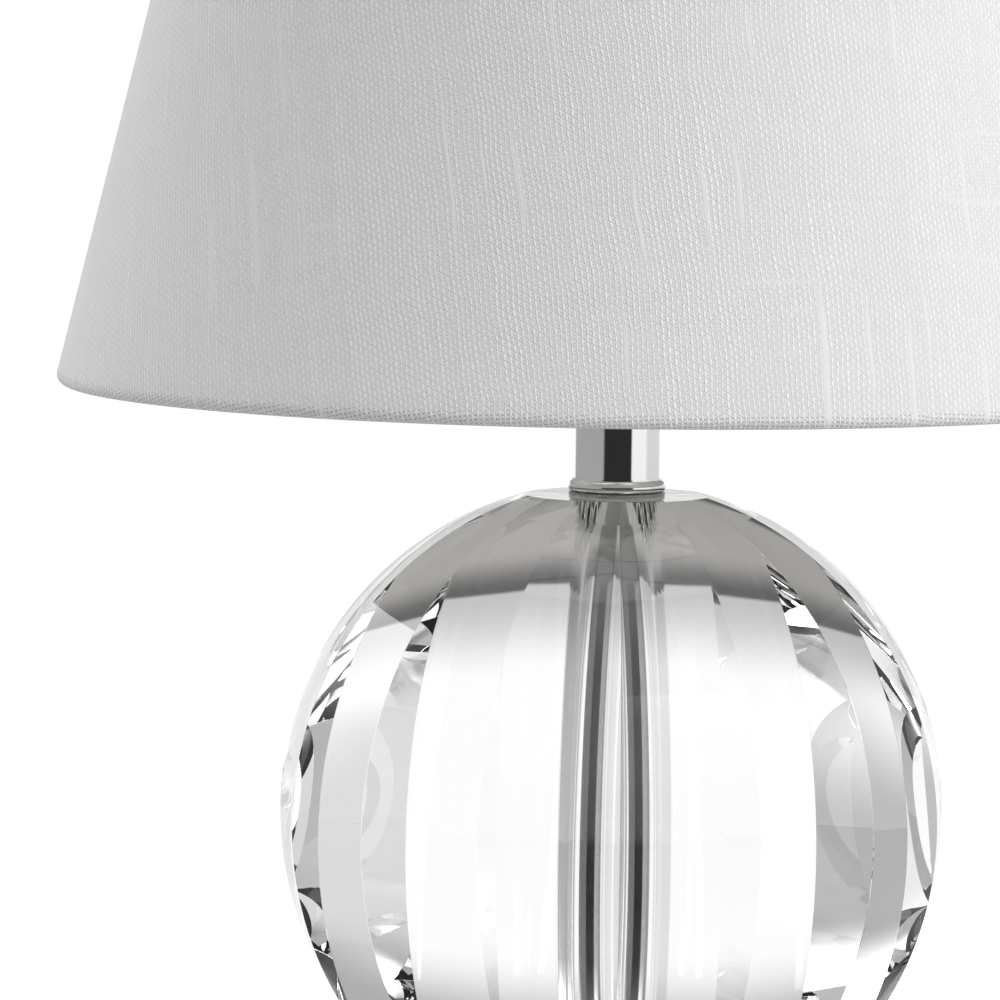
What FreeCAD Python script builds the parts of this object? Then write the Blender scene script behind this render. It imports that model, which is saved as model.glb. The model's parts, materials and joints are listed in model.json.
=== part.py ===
"""Table lamp with a tapered linen shade on a cut crystal ball.

Millimetres, +Z up, origin on the table at the centre of the foot.  The front is -Y.
Every sub-part is one node: a solid, or a group of like solids, written to parts/NODE.step.
"""

import math
import os

import FreeCAD
import Part

V = FreeCAD.Vector
UP = V(0, 0, 1)

# ---- driving dimensions ------------------------------------------------------------------

SHADE_BOTTOM_R = 165.1  # a 13 inch shade
SHADE_TOP_R = 114.3  # 9 inches at the top
SHADE_HEIGHT = 209.8  # 8.5 inches along the slope
BALL_R = 99.0  # the ball's ridges lie on a sphere of this radius
BALL_SIDES = 15
BALL_FLAT_R = 27.6  # corner radius of the flats ground at top and bottom
BALL_TURN = 0.5  # degrees that the first ridge is turned from the front
BALL_TO_SHADE = 126.6  # ball centre to the shade's bottom edge
NECK_R = 12.7  # a 1 inch neck tube
FOOT_R = 70.0

PIPE_R = 4.85  # lamp pipe, 1/8 IP
PIPE_BORE_R = 3.3
PIPE_HOLE_R = 4.95  # clearance hole for the pipe in plates and caps
BORE_R = 10.0  # drilled through the crystal

# ---- heights, from the table up ----------------------------------------------------------

FELT_T = 2.0
PLATE_T = 1.0
FOOT_BOTTOM_Z = 0.6  # the rim stops just short of the table
FOOT_RIM_TOP_Z = 15.0
FOOT_LEDGE_Z = 19.0
FOOT_TOP_Z = 31.0
SHEET_T = 1.6  # wall of the spun foot
WASHER_T = 1.5
LOWER_COLLAR_H = 6.0
LOWER_GASKET_T = 1.0
UPPER_GASKET_T = 0.9
UPPER_COLLAR_H = 4.3
NECK_LENGTH = 32.0
NECK_WALL = 1.0
NECK_CAP_T = 3.0
SADDLE_T = 1.6

BALL_HALF = math.sqrt(BALL_R**2 - BALL_FLAT_R**2)
LOWER_GASKET_Z = FOOT_TOP_Z + LOWER_COLLAR_H
BALL_BOTTOM_Z = LOWER_GASKET_Z + LOWER_GASKET_T
BALL_Z = BALL_BOTTOM_Z + BALL_HALF
BALL_TOP_Z = BALL_Z + BALL_HALF
UPPER_COLLAR_Z = BALL_TOP_Z + UPPER_GASKET_T
NECK_Z = UPPER_COLLAR_Z + UPPER_COLLAR_H
NECK_CAP_Z = NECK_Z + NECK_LENGTH
SADDLE_Z = NECK_CAP_Z + NECK_CAP_T
SOCKET_Z = SADDLE_Z + SADDLE_T
SHADE_BOTTOM_Z = BALL_Z + BALL_TO_SHADE
SHADE_TOP_Z = SHADE_BOTTOM_Z + SHADE_HEIGHT

# ---- cord inlet --------------------------------------------------------------------------

INLET_Z = 9.0
INLET_R = 3.25
GROMMET_BODY_R = 4.4
GROMMET_FLANGE_R = 5.5

# ---- harp and saddle ---------------------------------------------------------------------

HARP_WIRE_R = 1.9
HARP_LEG_X = 27.0
HARP_WIDE_X = 52.0
POST_TOP_Z = SADDLE_Z + 22.0
LAP_BOTTOM_Z = POST_TOP_Z - 7.0
LAP_GAP = 0.1
FERRULE_BORE_R = 2.0
FERRULE_R = 3.3
FERRULE_H = 13.0
HARP_EYE_Z = SHADE_TOP_Z - 12.0
HARP_EYE_R = 7.0
HARP_EYE_T = 2.2
STUD_R = 3.15
STUD_NECK_R = 2.5
STUD_FLANGE_T = 1.8
STUD_SLACK = 0.1
HUB_Z = HARP_EYE_Z + HARP_EYE_T + STUD_SLACK + STUD_FLANGE_T
HUB_T = 1.4
HUB_R = 10.0

# ---- shade -------------------------------------------------------------------------------

FABRIC_T = 0.5
LINER_T = 0.4
RING_WIRE_R = 1.65
RING_GAP = 0.05
HEM_DEPTH = 10.0  # cloth turned in behind each ring
FITTER_ARMS = 3
ARM_R = 1.7

# ---- socket and bulb ---------------------------------------------------------------------

SOCKET_SHELL_R = 16.1
SOCKET_WALL = 0.8
CAP_R = SOCKET_SHELL_R + 0.8
CAP_HUB_R = 7.5
CAP_HUB_H = 9.0
CAP_H = 16.0
CAP_LAP = 5.0  # the shell's end that sits inside the cap
SET_SCREW_R = 1.5
SET_SCREW_UP = 4.5
SHELL_Z = SOCKET_Z + CAP_H
SHELL_H = 48.0
CARD_R = SOCKET_SHELL_R - SOCKET_WALL
CARD_T = 0.6
BODY_R = CARD_R - CARD_T
BODY_Z = SHELL_Z + 3.0
BODY_H = 18.0
TERMINAL_Z = BODY_Z + 5.5
SWITCH_Z = SHELL_Z + 13.0
SWITCH_STEM_R = 1.6
SCREW_SHELL_Z = BODY_Z + BODY_H
SCREW_SHELL_H = 22.0
BULB_TIP_Z = SCREW_SHELL_Z + 1.4
BULB_SCREW_R = 12.9
BULB_SCREW_H = 22.0
THREAD_PITCH = 3.6
BULB_R = 30.0
BULB_LENGTH = 106.0


# ---- helpers -----------------------------------------------------------------------------


def outline(points):
    """A closed wire in the XZ plane.

    A point is (r, z), or (r, z, via) where an arc through via leads to it.  On the first point, that arc
    closes the outline.
    """
    edges = []
    here = V(points[0][0], 0, points[0][1])
    for point in [*points[1:], points[0]]:
        there = V(point[0], 0, point[1])
        via = point[2] if len(point) > 2 else None
        if via:
            edges.append(Part.Arc(here, V(via[0], 0, via[1]), there).toShape())
        elif (there - here).Length > 1e-7:
            edges.append(Part.makeLine(here, there))
        here = there
    return Part.Wire(edges)


def turned(points):
    """The solid that the outline makes when it is turned about Z."""
    return Part.Face(outline(points)).revolve(V(0, 0, 0), UP, 360)


def ring(outer, inner, z, height):
    """A plain round ring, or a disc where inner is 0."""
    solid = Part.makeCylinder(outer, height, V(0, 0, z))
    if inner:
        solid = solid.cut(Part.makeCylinder(inner, height, V(0, 0, z)))
    return solid


def rod(start, end, radius):
    """A round bar from one point to another."""
    return Part.makeCylinder(radius, (end - start).Length, start, end - start)


def around(solid, count, first=0.0):
    """Copies of a solid, spaced evenly about Z."""
    return [
        solid.rotated(V(0, 0, 0), UP, first + 360.0 * i / count) for i in range(count)
    ]


def polar(radius, degrees, z):
    angle = math.radians(degrees)
    return V(radius * math.cos(angle), radius * math.sin(angle), z)


def group(solids):
    return Part.makeCompound(solids)


def bent_path(points, radii):
    """Straight runs through the points, joined by tangent arcs of the given radii at the inner points."""
    edges = []
    here = points[0]
    for i, radius in enumerate(radii, start=1):
        before = (points[i - 1] - points[i]).normalize()
        after = (points[i + 1] - points[i]).normalize()
        half_turn = (math.pi - before.getAngle(after)) / 2
        reach = radius * math.tan(half_turn)
        start = points[i] + before * reach
        end = points[i] + after * reach
        inward = (before + after).normalize()
        middle = points[i] + inward * (radius / math.cos(half_turn) - radius)
        edges.append(Part.makeLine(here, start))
        edges.append(Part.Arc(start, middle, end).toShape())
        here = end
    edges.append(Part.makeLine(here, points[-1]))
    return Part.Wire(edges)


def wire_form(path, radius):
    """A round wire of that radius swept along a path."""
    start = path.Edges[0].firstVertex().Point
    along = path.Edges[0].tangentAt(path.Edges[0].FirstParameter)
    section = Part.Wire([Part.makeCircle(radius, start, along)])
    return path.makePipeShell([section], True, False)


# ---- foot --------------------------------------------------------------------------------


def felt_pad():
    return ring(FOOT_R - 4, 0, 0, FELT_T)


def bottom_plate():
    return ring(FOOT_R - SHEET_T - 0.1, 0, FELT_T, PLATE_T)


def foot_outline(inset):
    """The spun foot's outside, or with an inset its inside: rim, rounded shoulder, ledge and cove."""
    rim = FOOT_R - inset
    shoulder = 4.0 - inset
    ledge = FOOT_LEDGE_Z - inset
    top = FOOT_TOP_Z - inset
    corner = rim - shoulder * (1 - math.sqrt(0.5))
    corner_z = ledge - shoulder * (1 - math.sqrt(0.5))
    cove_start = 59.0 - inset * 0.5
    cove_end = 36.0 - inset * 0.5
    return [
        (0, FOOT_BOTTOM_Z),
        (rim, FOOT_BOTTOM_Z),
        (rim, ledge - shoulder),
        (rim - shoulder, ledge, (corner, corner_z)),
        (cove_start, ledge),
        (cove_end, top, (44.0 - inset * 0.8, ledge + 4.6)),
        (0, top),
    ]


def foot_shell():
    solid = turned(foot_outline(0)).cut(turned(foot_outline(SHEET_T)))
    solid = solid.cut(ring(PIPE_HOLE_R, 0, FOOT_LEDGE_Z, FOOT_TOP_Z))
    inlet = rod(V(0, 60, INLET_Z), V(0, FOOT_R + 5, INLET_Z), GROMMET_BODY_R)
    return solid.cut(inlet)


def cord_grommet():
    """Bush with a flange inside and outside the foot's back wall."""
    outside = FOOT_R + 1.6
    inside = FOOT_R - SHEET_T - 1.8
    barrel = rod(V(0, inside, INLET_Z), V(0, outside, INLET_Z), GROMMET_BODY_R)
    flange = rod(V(0, inside, INLET_Z), V(0, outside, INLET_Z), GROMMET_FLANGE_R)
    wall = turned(foot_outline(0)).cut(turned(foot_outline(SHEET_T)))
    solid = barrel.fuse(flange.cut(wall))
    return solid.cut(
        rod(V(0, inside - 1, INLET_Z), V(0, outside + 1, INLET_Z), INLET_R)
    )


def foot_washer():
    return ring(12.0, PIPE_HOLE_R, FOOT_TOP_Z - SHEET_T - WASHER_T, WASHER_T)


def foot_nut():
    """Hexagon nut with its lower corners chamfered."""
    height, corner_r, chamfer = 5.0, 8.6, 0.9
    z = FOOT_TOP_Z - SHEET_T - WASHER_T - height
    corners = [polar(corner_r, 60 * i, z) for i in range(6)]
    prism = Part.Face(Part.makePolygon([*corners, corners[0]])).extrude(UP * height)
    blank = turned(
        [
            (0, z),
            (corner_r - chamfer, z),
            (corner_r, z + chamfer),
            (corner_r, z + height),
            (0, z + height),
        ]
    )
    return prism.common(blank).cut(ring(PIPE_R, 0, z - 1, height + 2))


# ---- crystal -----------------------------------------------------------------------------


def lower_collar():
    z, top = FOOT_TOP_Z, FOOT_TOP_Z + LOWER_COLLAR_H
    return turned(
        [
            (PIPE_HOLE_R, z),
            (26.5, z),
            (26.5, z + 1.2),
            (24.0, z + 2.0, (24.8, z + 1.3)),
            (22.5, top, (25.6, z + 4.3)),
            (PIPE_HOLE_R, top),
        ]
    )


def lower_gasket():
    """Clear washer with a spigot that centres the pipe in the ball's bore."""
    return gasket(22.0, LOWER_GASKET_Z, BALL_BOTTOM_Z, 1)


def upper_gasket():
    return gasket(14.2, UPPER_COLLAR_Z, BALL_TOP_Z, -1)


def gasket(flange_r, metal_z, glass_z, into):
    spigot = glass_z + into * 10.0
    low, high = min(metal_z, spigot), max(metal_z, spigot)
    solid = ring(BORE_R - 0.1, PIPE_HOLE_R, low, high - low)
    flange_low = min(metal_z, glass_z)
    flange = ring(flange_r, PIPE_HOLE_R, flange_low, abs(metal_z - glass_z))
    groove = Part.makeBox(1.0, 0.5, 9.0, V(BORE_R - 0.6, -0.25, min(glass_z, spigot) + 0.5))
    return solid.fuse(flange).removeSplitter().cut(around(groove, 24))


def cut_ball(radius, half_height, sides, z, turn):
    """Facets that are flat across and curved upwards, and meet at ridges on one sphere round (0, 0, z)."""
    flat_r = math.sqrt(radius**2 - half_height**2)
    ridges, tops, bottoms = [], [], []
    for i in range(sides):
        angle = turn + 360.0 * i / sides
        tops.append(polar(flat_r, angle, z + half_height))
        bottoms.append(polar(flat_r, angle, z - half_height))
        ridges.append(Part.Arc(bottoms[i], polar(radius, angle, z), tops[i]).toShape())
    faces = [Part.makeRuledSurface(ridges[i - 1], ridges[i]) for i in range(sides)]
    faces += [Part.Face(Part.makePolygon([*ends, ends[0]])) for ends in (tops, bottoms)]
    shell = Part.makeShell(faces)
    shell.sewShape()
    solid = Part.makeSolid(shell)
    if solid.Volume < 0:
        solid.reverse()
    return solid


def crystal_ball():
    solid = cut_ball(BALL_R, BALL_HALF, BALL_SIDES, BALL_Z, BALL_TURN - 90)
    return solid.cut(ring(BORE_R, 0, BALL_BOTTOM_Z - 1, 2 * BALL_HALF + 2))


def lamp_pipe():
    z = FOOT_TOP_Z - SHEET_T - 10.0
    top = SOCKET_Z + CAP_HUB_H
    return ring(PIPE_R, PIPE_BORE_R, z, top - z)


# ---- neck --------------------------------------------------------------------------------


def upper_collar():
    z, top = UPPER_COLLAR_Z, NECK_Z
    return turned(
        [
            (PIPE_HOLE_R, z),
            (13.2, z),
            (14.0, z + 3.2, (14.45, z + 1.5)),
            (13.5, z + 3.9, (13.7, z + 3.5)),
            (13.5, top),
            (NECK_R - NECK_WALL, top),
            (NECK_R - NECK_WALL, top + 1.5),
            (PIPE_HOLE_R, top + 1.5),
        ]
    )


def neck_tube():
    return ring(NECK_R, NECK_R - NECK_WALL, NECK_Z, NECK_LENGTH)


def neck_cap():
    z, top = NECK_CAP_Z, SADDLE_Z
    spigot = ring(NECK_R - NECK_WALL, PIPE_HOLE_R, z - 3.0, 3.0)
    cap = turned(
        [
            (PIPE_HOLE_R, z),
            (14.0, z),
            (14.0, z + 1.0),
            (11.0, top, (12.8, top - 0.56)),
            (PIPE_HOLE_R, top),
        ]
    )
    return cap.fuse(spigot).removeSplitter()


# ---- saddle, harp and stud ---------------------------------------------------------------


def saddle():
    """Pressed strip with an upright round post at each end, half cut away where the harp laps it."""
    half_width = 6.0
    hub = ring(11.0, 0, SADDLE_Z, SADDLE_T)
    strip = Part.makeBox(
        2 * HARP_LEG_X, 2 * half_width, SADDLE_T, V(-HARP_LEG_X, -half_width, SADDLE_Z)
    )
    solid = strip.fuse(hub)
    for side in (-1, 1):
        x = side * HARP_LEG_X
        end = Part.makeCylinder(half_width, SADDLE_T, V(x, 0, SADDLE_Z))
        post = Part.makeCylinder(HARP_WIRE_R, POST_TOP_Z - SADDLE_Z, V(x, 0, SADDLE_Z))
        shoulder = turned(
            [(0, SADDLE_Z), (4.0, SADDLE_Z), (4.0, SADDLE_Z + 3.0), (0, SADDLE_Z + 7.0)]
        ).translated(V(x, 0, 0))
        solid = solid.fuse([end, post, shoulder])
        solid = solid.cut(lap_block(x, 1))
    solid = solid.cut(ring(PIPE_HOLE_R, 0, SADDLE_Z - 1, SADDLE_T + 2))
    return solid.removeSplitter()


def lap_block(x, side):
    """Box that holds one half of the lap between a post and the harp's leg."""
    size = 6.0
    block = Part.makeBox(size, size, POST_TOP_Z - LAP_BOTTOM_Z + 1, V(-size / 2, 0, 0))
    if side < 0:
        block.translate(V(0, -size, 0))
    return block.translated(V(x, -side * LAP_GAP / 2, LAP_BOTTOM_Z))


def harp():
    """One bent wire with a flat eye at the top and a half-lap at each foot."""
    z = LAP_BOTTOM_Z + LAP_GAP
    eye_z = HARP_EYE_Z + HARP_EYE_T / 2
    wide_low = V(HARP_WIDE_X, 0, POST_TOP_Z + 58)
    wide_high = V(HARP_WIDE_X, 0, HARP_EYE_Z - 40)
    shoulder = V(HARP_WIDE_X - 21, 0, eye_z)
    halves = []
    for side in (-1, 1):
        points = [
            V(HARP_LEG_X, 0, z),
            V(HARP_LEG_X, 0, POST_TOP_Z + 24),
            wide_low,
            wide_high,
            shoulder,
            V(HARP_EYE_R - 2, 0, eye_z),
        ]
        points = [V(side * p.x, p.y, p.z) for p in points]
        leg = wire_form(bent_path(points, [18, 30, 34, 22]), HARP_WIRE_R)
        cutter = lap_block(side * HARP_LEG_X, -1)
        halves.append(leg.cut(cutter))
    eye = ring(HARP_EYE_R, 0, HARP_EYE_Z, HARP_EYE_T)
    solid = eye.fuse(halves)
    hole = ring(STUD_NECK_R + 0.08, 0, HARP_EYE_Z - 5, HARP_EYE_T + 10)
    above = ring(6.9, 0, HARP_EYE_Z + HARP_EYE_T, 4.0)
    below = ring(4.8, 0, HARP_EYE_Z - 4.0, 4.0)
    return solid.cut([hole, above, below]).removeSplitter()


def ferrule(side):
    """Sleeve that slides down over the lap and locks the harp's leg to the saddle."""
    z = LAP_BOTTOM_Z - 3.0
    bead = 0.6
    solid = turned(
        [
            (FERRULE_BORE_R, z),
            (FERRULE_R + bead, z),
            (FERRULE_R + bead, z + 1.6),
            (FERRULE_R, z + 2.2),
            (FERRULE_R, z + FERRULE_H - 2.2),
            (FERRULE_R + bead, z + FERRULE_H - 1.6),
            (FERRULE_R + bead, z + FERRULE_H),
            (FERRULE_BORE_R, z + FERRULE_H),
        ]
    )
    return solid.translated(V(side * HARP_LEG_X, 0, 0))


def swivel_stud():
    """Turns in the harp's eye: rivet head below, flange above, threaded stud on top."""
    head_z = HARP_EYE_Z - STUD_SLACK
    flange_z = HARP_EYE_Z + HARP_EYE_T + STUD_SLACK
    top = HUB_Z + HUB_T + 11.0
    return turned(
        [
            (0, head_z - 2.0),
            (4.4, head_z, (3.6, head_z - 1.4)),
            (STUD_NECK_R, head_z),
            (STUD_NECK_R, flange_z),
            (6.5, flange_z),
            (6.5, HUB_Z),
            (STUD_R, HUB_Z),
            (STUD_R, top - 1.0),
            (STUD_R - 1.0, top),
            (0, top),
        ]
    )


# ---- shade -------------------------------------------------------------------------------

LEAN = math.atan2(SHADE_BOTTOM_R - SHADE_TOP_R, SHADE_HEIGHT)
DOWN_R, DOWN_Z = math.sin(LEAN), -math.cos(LEAN)  # along the slope, downwards
OUT_R, OUT_Z = math.cos(LEAN), math.sin(LEAN)  # square to the slope, outwards
SKIN_IN = RING_WIRE_R + RING_GAP + LINER_T  # ring centre to the cloth's inner face
SKIN_OUT = SKIN_IN + FABRIC_T
LOW_R = SHADE_BOTTOM_R - SKIN_OUT
LOW_Z = SHADE_BOTTOM_Z + SKIN_OUT
HIGH_Z = SHADE_TOP_Z - SKIN_OUT
HIGH_R = LOW_R - (HIGH_Z - LOW_Z) * math.tan(LEAN)


def from_ring(high, out, down):
    """A point (r, z) measured from a ring's wire centre, square to the slope and down along it."""
    r, z = (HIGH_R, HIGH_Z) if high else (LOW_R, LOW_Z)
    return (r + out * OUT_R + down * DOWN_R, z + out * OUT_Z + down * DOWN_Z)


def arc_to(high, out, down, via_down):
    """A point that ends an arc round a ring, which passes through the ring's far side."""
    return (*from_ring(high, out, down), from_ring(high, 0, via_down))


def shade_fabric():
    """One skin of cloth, turned in round both rings to a hem that is notched at the fitter's arms."""
    skin = turned(
        [
            arc_to(True, SKIN_OUT, 0, -SKIN_OUT),
            from_ring(False, SKIN_OUT, 0),
            arc_to(False, -SKIN_OUT, 0, SKIN_OUT),
            from_ring(False, -SKIN_OUT, -HEM_DEPTH),
            from_ring(False, -SKIN_IN, -HEM_DEPTH),
            from_ring(False, -SKIN_IN, 0),
            arc_to(False, SKIN_IN, 0, SKIN_IN),
            from_ring(True, SKIN_IN, 0),
            arc_to(True, -SKIN_IN, 0, -SKIN_IN),
            from_ring(True, -SKIN_IN, HEM_DEPTH),
            from_ring(True, -SKIN_OUT, HEM_DEPTH),
            from_ring(True, -SKIN_OUT, 0),
        ]
    )
    half = ARM_R + 0.3
    slot = Part.makeBox(8.0, 2 * half, HEM_DEPTH + 3.0, V(HIGH_R - 8.0, -half, HIGH_Z - HEM_DEPTH - 3.0))
    round_end = rod(V(HIGH_R - 8.0, 0, HIGH_Z), V(HIGH_R, 0, HIGH_Z), half)
    return skin.cut(around(slot.fuse(round_end), FITTER_ARMS, 90))


def shade_liner():
    """Stiff backing behind the cloth, from ring to ring."""
    return turned(
        [
            from_ring(True, SKIN_IN, 0),
            from_ring(False, SKIN_IN, 0),
            from_ring(False, SKIN_IN - LINER_T, 0),
            from_ring(True, SKIN_IN - LINER_T, 0),
        ]
    )


def shade_bottom_ring():
    return Part.makeTorus(LOW_R, RING_WIRE_R, V(0, 0, LOW_Z))


def shade_fitter():
    """Top ring, three arms and the hub that drops over the stud, welded into one piece."""
    hub = ring(HUB_R, 0, HUB_Z, HUB_T)
    top_ring = Part.makeTorus(HIGH_R, RING_WIRE_R, V(0, 0, HIGH_Z))
    points = [
        V(HUB_R - 3.5, 0, HUB_Z + HUB_T),
        V(HUB_R + 12, 0, HUB_Z + HUB_T),
        V(HIGH_R - 16, 0, HIGH_Z),
        V(HIGH_R, 0, HIGH_Z),
    ]
    arm = wire_form(bent_path(points, [20, 20]), ARM_R)
    solid = hub.fuse([top_ring, *around(arm, FITTER_ARMS, 90)])
    bore = ring(STUD_R + 0.3, 0, HUB_Z - 2, HUB_T + 8)
    seat = ring(HUB_R + 2, 0, HUB_Z - 3, 3.0)
    crown = ring(8.2, 0, HUB_Z + HUB_T, 6.0)
    return solid.cut([bore, seat, crown]).removeSplitter()


# ---- finial ------------------------------------------------------------------------------

FINIAL_Z = HUB_Z + HUB_T
FINIAL_BASE_H = 13.5
FINIAL_BALL_R = 11.0
FINIAL_BALL_HALF = 9.2
FINIAL_BALL_Z = FINIAL_Z + FINIAL_BASE_H + FINIAL_BALL_HALF


def finial_base():
    z = FINIAL_Z
    top = z + FINIAL_BASE_H
    solid = turned(
        [
            (0, z),
            (7.2, z),
            (7.2, z + 1.6, (7.8, z + 0.8)),
            (4.6, z + 5.0, (5.0, z + 2.6)),
            (4.6, z + 9.0),
            (6.6, top, (5.0, z + 11.8)),
            (0, top),
        ]
    )
    return solid.cut(ring(STUD_R + 0.1, 0, z - 1, 12.6))


def finial_ball():
    return cut_ball(FINIAL_BALL_R, FINIAL_BALL_HALF, 8, FINIAL_BALL_Z, 0)


# ---- socket ------------------------------------------------------------------------------


def socket_cap():
    """Bell that screws onto the pipe and takes the shell in its mouth."""
    z = SOCKET_Z
    outside = [
        (0, z),
        (CAP_HUB_R, z),
        (CAP_HUB_R, z + CAP_HUB_H),
        (CAP_R, SHELL_Z + 0.4, (CAP_R - 2.0, z + CAP_HUB_H + 2.6)),
        (CAP_R, SHELL_Z + CAP_LAP),
        (0, SHELL_Z + CAP_LAP),
    ]
    inside = [
        (0, z + CAP_HUB_H + 1.0),
        (CAP_HUB_R - 1.0, z + CAP_HUB_H + 1.0),
        (SOCKET_SHELL_R, SHELL_Z, (SOCKET_SHELL_R - 2.0, z + CAP_HUB_H + 3.8)),
        (SOCKET_SHELL_R, SHELL_Z + CAP_LAP),
        (0, SHELL_Z + CAP_LAP),
    ]
    screw_hole = rod(V(0, 4, z + SET_SCREW_UP), V(0, 9, z + SET_SCREW_UP), SET_SCREW_R)
    pipe_hole = ring(PIPE_R, 0, z - 1, CAP_HUB_H + 4)
    return turned(outside).cut([turned(inside), pipe_hole, screw_hole])


def socket_set_screw():
    z = SOCKET_Z + SET_SCREW_UP
    under_head, top = CAP_HUB_R + 0.4, CAP_HUB_R + 2.2
    shank = rod(V(0, PIPE_R + 0.1, z), V(0, under_head, z), SET_SCREW_R)
    head = rod(V(0, under_head, z), V(0, top, z), 2.6)
    slot = Part.makeBox(6, 1.0, 0.8, V(-3, top - 0.8, z - 0.4))
    return shank.fuse(head).cut(slot).removeSplitter()


def switch_hole(radius):
    return rod(V(0, -10, SWITCH_Z), V(0, -25, SWITCH_Z), radius)


def socket_shell():
    """Drawn sleeve with a rolled bead at its mouth and a hole for the switch."""
    z, top = SHELL_Z, SHELL_Z + SHELL_H
    r, wall = SOCKET_SHELL_R, SOCKET_WALL
    sleeve = turned(
        [
            (r - wall, z),
            (r, z),
            (r, top - 5.0),
            (r, top - 1.4, (r + 1.2, top - 3.2)),
            (r, top),
            (r - wall, top),
        ]
    )
    return sleeve.cut(switch_hole(3.6))


def socket_insulator():
    """Card sleeve between the shell and the live parts."""
    sleeve = ring(CARD_R, CARD_R - CARD_T, SHELL_Z + 1.0, SHELL_H - 3.0)
    return sleeve.cut(switch_hole(3.2))


def terminal_pocket(side):
    return Part.makeBox(6, 9, 9, V(side * (BODY_R - 1.0) - 3, -4.5, TERMINAL_Z - 4.5))


def socket_body():
    """Moulded block that carries the switch, the contact and the terminals."""
    stem_hole = rod(V(0, -6, SWITCH_Z), V(0, -20, SWITCH_Z), SWITCH_STEM_R + 0.3)
    solid = ring(BODY_R, 0, BODY_Z, BODY_H)
    return solid.cut([terminal_pocket(-1), terminal_pocket(1), stem_hole])


def terminal_screws():
    screws = []
    for side in (-1, 1):
        floor, top = side * (BODY_R - 4.0), side * (BODY_R - 2.0)
        head = rod(V(floor, 0, TERMINAL_Z), V(top, 0, TERMINAL_Z), 3.0)
        slot = Part.makeBox(1.0, 7, 0.8, V(top - 0.5, -3.5, TERMINAL_Z - 0.4))
        screws.append(head.cut(slot))
    return group(screws)


def thread(root_r, crest_r, start, end):
    """Rounded grooves at a lamp cap's pitch, as outline points from one height to another."""
    turns = int(abs(end - start) / THREAD_PITCH)
    step = math.copysign(THREAD_PITCH, end - start)
    points = [(root_r, start)]
    for i in range(turns):
        low = start + i * step
        points.append((root_r, low + step, (crest_r, low + step / 2)))
    return points


def socket_screw_shell():
    """Threaded brass cup that grips the bulb, with a hole in its floor for the contact."""
    z, top = SCREW_SHELL_Z, SCREW_SHELL_Z + SCREW_SHELL_H
    inner_r = BULB_SCREW_R + 0.4
    return turned(
        [
            (5.0, z),
            (inner_r + 1.0, z),
            (inner_r + 1.0, top),
            (inner_r, top),
            *thread(inner_r, inner_r + 0.5, top - 0.4, z + 1.0),
            (inner_r, z + 0.6),
            (5.0, z + 0.6),
        ]
    )


def socket_contact():
    """Brass button at the bottom of the socket that meets the bulb's tip."""
    z = SCREW_SHELL_Z
    return turned([(0, z), (3.4, z), (3.4, z + 0.6), (2.6, z + 0.9), (0, z + 0.9)])


def switch_knob():
    """Ribbed turn knob on its stem."""
    start, knob, end = -8.4, -SOCKET_SHELL_R - 4.0, -SOCKET_SHELL_R - 15.0
    stem = rod(V(0, start, SWITCH_Z), V(0, knob, SWITCH_Z), SWITCH_STEM_R)
    head = rod(V(0, knob, SWITCH_Z), V(0, end, SWITCH_Z), 5.2)
    grooves = []
    for i in range(12):
        groove = rod(V(5.5, knob - 1.8, SWITCH_Z), V(5.5, end - 1, SWITCH_Z), 0.75)
        grooves.append(groove.rotated(V(0, 0, SWITCH_Z), V(0, 1, 0), 30.0 * i))
    return stem.fuse(head).cut(grooves)


# ---- bulb --------------------------------------------------------------------------------

SCREW_Z = BULB_TIP_Z + 4.5
HOUSING_Z = SCREW_Z + BULB_SCREW_H
HOUSING_H = 30.0
BULB_TOP_Z = BULB_TIP_Z + BULB_LENGTH
DOME_Z = BULB_TOP_Z - BULB_R
HOUSING_TOP_Z = HOUSING_Z + HOUSING_H
HOUSING_TOP_R = math.sqrt(BULB_R**2 - (DOME_Z - HOUSING_TOP_Z) ** 2)


def bulb_contact():
    z = BULB_TIP_Z
    return turned([(0, z), (2.2, z), (3.6, z + 0.9), (3.6, z + 1.5), (0, z + 1.5)])


def bulb_insulator():
    z = BULB_TIP_Z + 1.5
    return turned([(0, z), (4.6, z), (9.6, SCREW_Z), (0, SCREW_Z)])


def bulb_screw():
    """Thin threaded cap."""
    inner_r = BULB_SCREW_R - 1.8
    return turned(
        [
            (0, SCREW_Z),
            (9.6, SCREW_Z),
            *thread(BULB_SCREW_R - 0.8, BULB_SCREW_R, SCREW_Z + 1.2, HOUSING_Z - 2.0),
            (BULB_SCREW_R - 0.5, HOUSING_Z),
            (inner_r, HOUSING_Z),
            (inner_r, SCREW_Z + 1.0),
            (0, SCREW_Z + 1.0),
        ]
    )


def bulb_housing():
    """Moulded cone that holds the driver and carries the dome."""
    wall = 1.4
    low_r = BULB_SCREW_R + 0.6
    bulge_r, bulge_z = low_r + 5.0, HOUSING_Z + 14.0
    return turned(
        [
            (low_r - wall, HOUSING_Z, (bulge_r - wall, bulge_z)),
            (low_r, HOUSING_Z),
            (HOUSING_TOP_R, HOUSING_TOP_Z, (bulge_r, bulge_z)),
            (HOUSING_TOP_R - wall, HOUSING_TOP_Z),
        ]
    )


def bulb_led_board():
    """Round board that closes the housing under the dome."""
    return ring(HOUSING_TOP_R - 1.75, 0, HOUSING_TOP_Z - 1.6, 1.6)


def dome_point(radius, degrees):
    """A point of a sphere round the dome's centre, so many degrees down from its top."""
    angle = math.radians(degrees)
    return (radius * math.sin(angle), DOME_Z + radius * math.cos(angle))


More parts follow.
